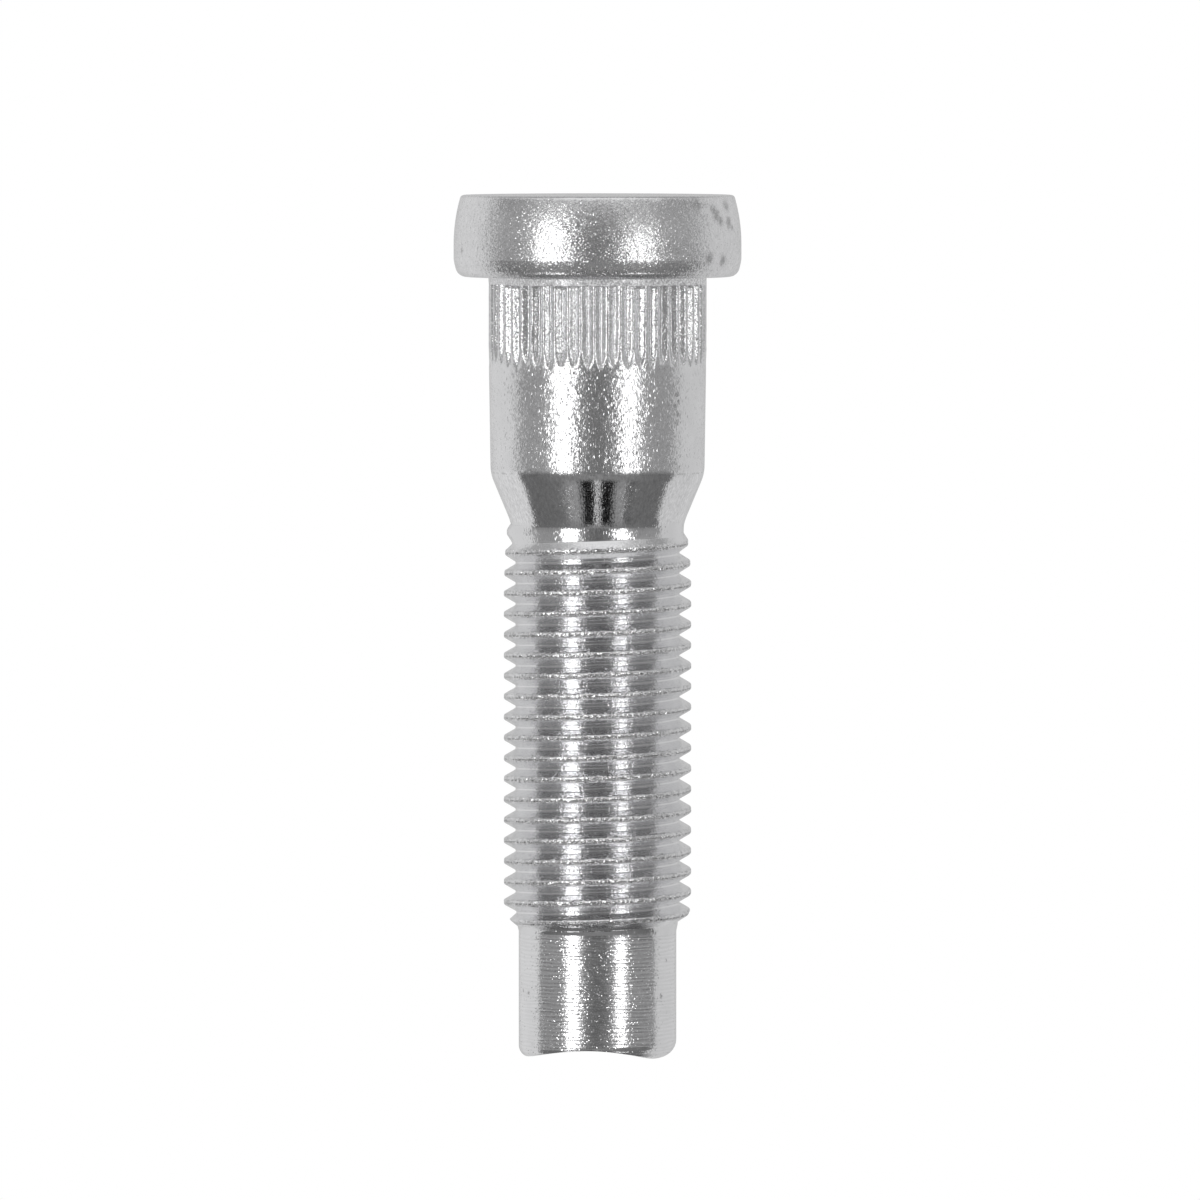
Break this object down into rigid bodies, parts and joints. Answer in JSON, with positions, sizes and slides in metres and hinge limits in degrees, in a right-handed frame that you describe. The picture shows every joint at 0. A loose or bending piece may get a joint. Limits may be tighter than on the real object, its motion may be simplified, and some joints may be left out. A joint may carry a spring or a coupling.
{
  "type": "wheel stud",
  "caption": "Press-in wheel stud with a barrel-sided round head, a knurled shank, a tapered neck, a right-hand thread and a plain lead tip with a hollow end.",
  "frame": {"origin": "centre of the head's flat face, on which the stud stands", "axes": "+Z along the stud's axis from the head's face to the tip; +X towards the side where the hollow in the tip lies deepest"},
  "size_m": [0.021, 0.021, 0.0629],
  "materials": {
    "zinc_plated_steel": "bright zinc plate over cold-formed steel, slightly rough, with fine grain and a few small dark stains"
  },
  "bodies": {
    "root": {"wheel_stud": "zinc_plated_steel"}
  },
  "joints": []
}
